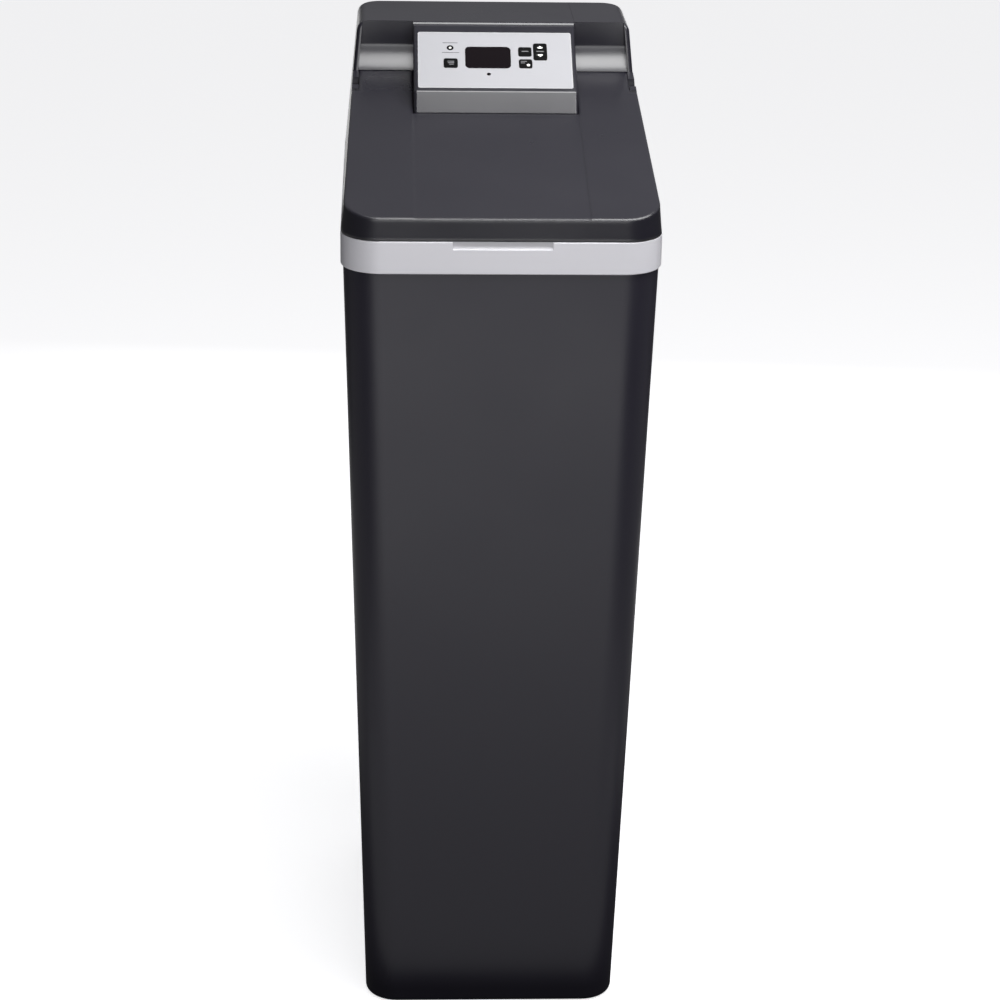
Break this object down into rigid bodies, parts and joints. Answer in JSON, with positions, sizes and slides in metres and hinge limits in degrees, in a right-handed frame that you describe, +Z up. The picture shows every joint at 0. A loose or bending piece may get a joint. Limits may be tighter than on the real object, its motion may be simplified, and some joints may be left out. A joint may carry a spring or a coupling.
{
  "type": "cabinet water softener",
  "caption": "Slim cabinet water softener: tapered salt bin with a rim, hinged sloping salt lid, and rear cover with control panel, resin tank, valve, bypass and brine well.",
  "frame": {"origin": "centre of the cabinet's foot, on the floor", "axes": "+Z up, front faces -Y, +X to the viewer's right"},
  "size_m": [0.3766, 0.5867, 1.206],
  "materials": {
    "cabinet_shell": "fine matte texture",
    "rim_shell": "fine satin texture",
    "lid_shell": "fine satin texture",
    "faceplate_sheet": "satin",
    "key_cap": "gloss",
    "display_lens": "gloss",
    "display_glass": "gloss",
    "clear_lens": "gloss",
    "dark_plastic": "satin",
    "circuit_board": "satin",
    "steel_screw": "bright",
    "tank_shell": "smooth over wound glass fibre",
    "white_plastic": "satin",
    "resin_beads": "fine grain",
    "seal_rubber": "matte",
    "valve_plastic": "satin, glass filled",
    "gear_plastic": "satin",
    "motor_can": "satin",
    "spool_plastic": "satin",
    "clear_tube": "gloss"
  },
  "bodies": {
    "housing": {"cabinet": "cabinet_shell", "rim": "rim_shell", "top_cover": "lid_shell", "hinge_pins": "dark_plastic", "faceplate": "faceplate_sheet", "display_window": "display_lens", "display_module": "display_glass", "status_lens": "clear_lens", "lamp_bezel": "key_cap", "lamp_lens": "clear_lens", "control_board": "circuit_board", "board_tray": "dark_plastic", "tray_screws": "steel_screw", "resin_tank": "tank_shell", "riser_tube": "white_plastic", "bottom_distributor": "white_plastic", "top_distributor": "white_plastic", "resin_bed": "resin_beads", "tank_clamp": "dark_plastic", "clamp_screws": "steel_screw", "tank_seal": "seal_rubber", "valve_body": "valve_plastic", "rotor_seal": "seal_rubber", "wave_washer": "steel_screw", "valve_cover": "valve_plastic", "cover_screws": "steel_screw", "motor_plate": "white_plastic", "plate_screws": "steel_screw", "drive_motor": "motor_can", "motor_screws": "steel_screw", "position_switch": "dark_plastic", "venturi_housing": "valve_plastic", "nozzle_insert": "gear_plastic", "venturi_cap": "dark_plastic", "turbine_support": "white_plastic", "bypass_body": "valve_plastic", "retaining_clips": "white_plastic", "inlet_adaptor": "valve_plastic", "outlet_adaptor": "valve_plastic", "drain_elbow": "white_plastic", "overflow_elbow": "dark_plastic", "overflow_grommet": "seal_rubber", "brine_well": "white_plastic", "brine_valve": "white_plastic", "brine_tube": "clear_tube"},
    "lid": {"salt_lid": "lid_shell"},
    "rotor": {"rotor_disc": "white_plastic", "cam_gear": "gear_plastic"},
    "pinion": {"motor_pinion": "gear_plastic"},
    "turbine": {"flow_turbine": "gear_plastic"},
    "spool": {"bypass_spool": "spool_plastic", "bypass_knob": "spool_plastic", "spool_seals": "seal_rubber"},
    "float": {"float_rod": "white_plastic", "brine_float": "white_plastic"},
    "well_cover": {"brine_well_cover": "white_plastic"},
    "recharge": {"recharge_key": "key_cap"},
    "select": {"select_key": "key_cap"},
    "water": {"water_key": "key_cap"},
    "rocker": {"rocker_key": "key_cap"}
  },
  "joints": [
    {"name": "lid_hinge", "type": "hinge", "parent": "housing", "child": "lid", "pos_m": [0, 0.06198, 1.11496], "axis": [-1, 0, 0], "range_deg": [0, 85]},
    {"name": "recharge_press", "type": "slide", "parent": "housing", "child": "recharge", "axis": [0, 0.5299, -0.848], "range_m": [0, 0.0008], "stiffness_N_per_m": 400, "springref_m": -0.001},
    {"name": "select_press", "type": "slide", "parent": "housing", "child": "select", "axis": [0, 0.5299, -0.848], "range_m": [0, 0.0008], "stiffness_N_per_m": 400, "springref_m": -0.001},
    {"name": "water_press", "type": "slide", "parent": "housing", "child": "water", "axis": [0, 0.5299, -0.848], "range_m": [0, 0.0008], "stiffness_N_per_m": 400, "springref_m": -0.001},
    {"name": "rocker_tilt", "type": "hinge", "parent": "housing", "child": "rocker", "pos_m": [0.0564, 0.06444, 1.17469], "axis": [1, 0, 0], "range_deg": [-2.5, 2.5], "stiffness_Nm_per_rad": 0.1},
    {"name": "rotor_spin", "type": "hinge", "parent": "housing", "child": "rotor", "pos_m": [0.02998, 0.11508, 1.0832], "axis": [0, 0, 1], "continuous": true},
    {"name": "pinion_spin", "type": "hinge", "parent": "housing", "child": "pinion", "pos_m": [0.06016, 0.16735, 1.0832], "axis": [0, 0, 1], "continuous": true},
    {"name": "turbine_spin", "type": "hinge", "parent": "housing", "child": "turbine", "pos_m": [0.00198, 0.19908, 1.05], "axis": [0, 1, 0], "continuous": true},
    {"name": "bypass_slide", "type": "slide", "parent": "housing", "child": "spool", "axis": [1, 0, 0], "range_m": [0, 0.026]},
    {"name": "float_rise", "type": "slide", "parent": "housing", "child": "float", "axis": [0, 0, 1], "range_m": [0, 0.02]},
    {"name": "well_cover_lift", "type": "slide", "parent": "housing", "child": "well_cover", "axis": [0, 0, 1], "range_m": [0, 0.06]}
  ],
  "couplings": [
    {"joint": "pinion_spin", "follows": "rotor_spin", "ratio": -4}
  ]
}
